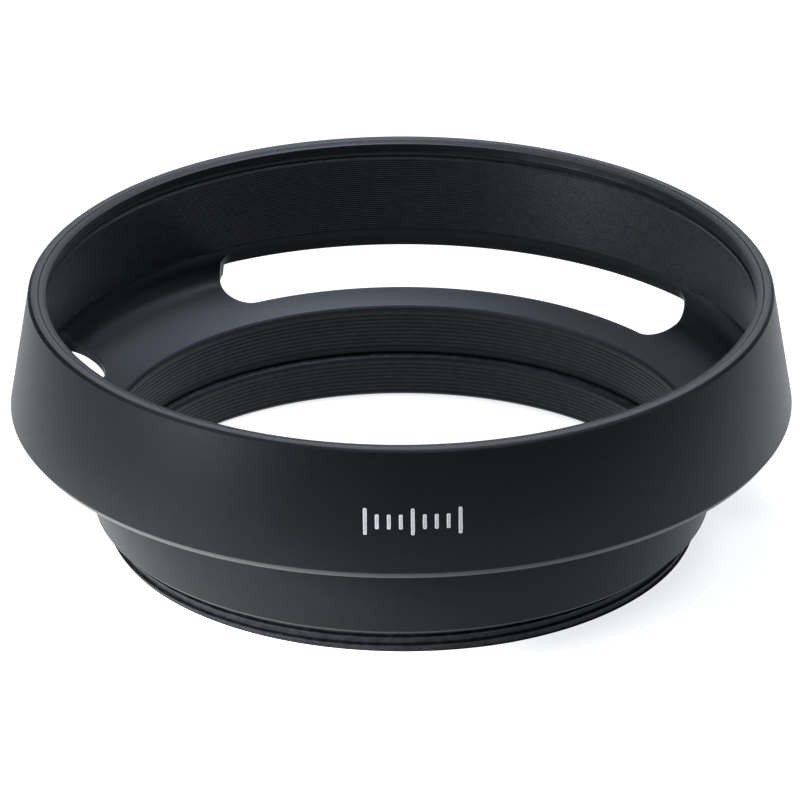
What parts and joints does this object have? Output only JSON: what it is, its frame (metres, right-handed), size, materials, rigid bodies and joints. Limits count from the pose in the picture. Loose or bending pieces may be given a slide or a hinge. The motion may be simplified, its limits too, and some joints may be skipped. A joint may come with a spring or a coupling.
{
  "type": "lens hood",
  "caption": "Flared metal lens hood with a vented shoulder, a collar and a fine male thread that screws into a lens's filter thread.",
  "frame": {"origin": "centre of the rear face, on the optical axis, where the hood stands", "axes": "+Z along the optical axis from the lens towards the subject, +Y through the middle of one vent"},
  "size_m": [0.0646, 0.0646, 0.0212],
  "materials": {
    "anodised_ring": "satin black anodised, turned",
    "anodised_shell": "satin black anodised, turned",
    "index_paint": "matt white fill paint"
  },
  "bodies": {
    "mount": {"mount_ring": "anodised_ring"},
    "shell": {"hood_shell": "anodised_shell", "index_fill": "index_paint"}
  },
  "joints": [
    {"name": "neck_unscrew", "type": "slide", "parent": "mount", "child": "shell", "axis": [0, 0, 1], "range_m": [0, 0.0045]}
  ]
}
